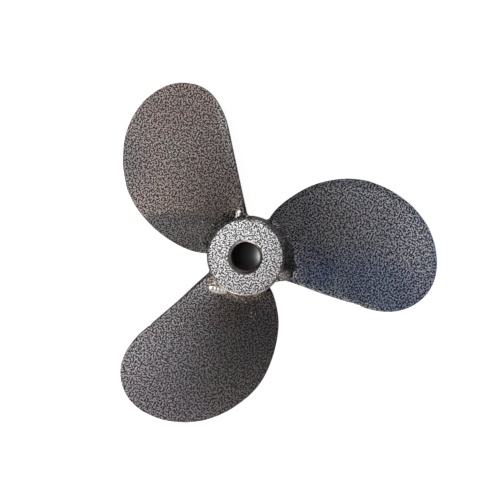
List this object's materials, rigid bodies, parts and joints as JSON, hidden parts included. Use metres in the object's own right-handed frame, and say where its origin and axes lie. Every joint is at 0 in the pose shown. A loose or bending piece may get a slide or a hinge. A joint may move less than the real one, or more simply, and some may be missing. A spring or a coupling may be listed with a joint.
{
  "type": "ship propeller",
  "caption": "Fixed-pitch ship propeller with a bored hub and welded plate blades in vein-patterned paint, turned by a shaft to push water.",
  "frame": {"origin": "on the shaft axis at half the hub's length, within 1.5 mm of the centre of mass", "axes": "+Z along the shaft axis, out of the front that the picture shows; +Y towards the straight edge of the first blade, +X to the right of it"},
  "size_m": [0.2677, 0.2915, 0.058],
  "materials": {
    "hub_paint": "silver-vein baked coating over turned steel, black veins, satin",
    "blade_paint": "dark silver-vein baked coating over steel plate, satin",
    "weld_paint": "the same coating over ripple-topped weld beads"
  },
  "bodies": {
    "root": {"hub": "hub_paint", "blade_1": "blade_paint", "blade_2": "blade_paint", "blade_3": "blade_paint", "weld_front_1": "weld_paint", "weld_front_2": "weld_paint", "weld_front_3": "weld_paint", "weld_back_1": "weld_paint", "weld_back_2": "weld_paint", "weld_back_3": "weld_paint"}
  },
  "joints": []
}
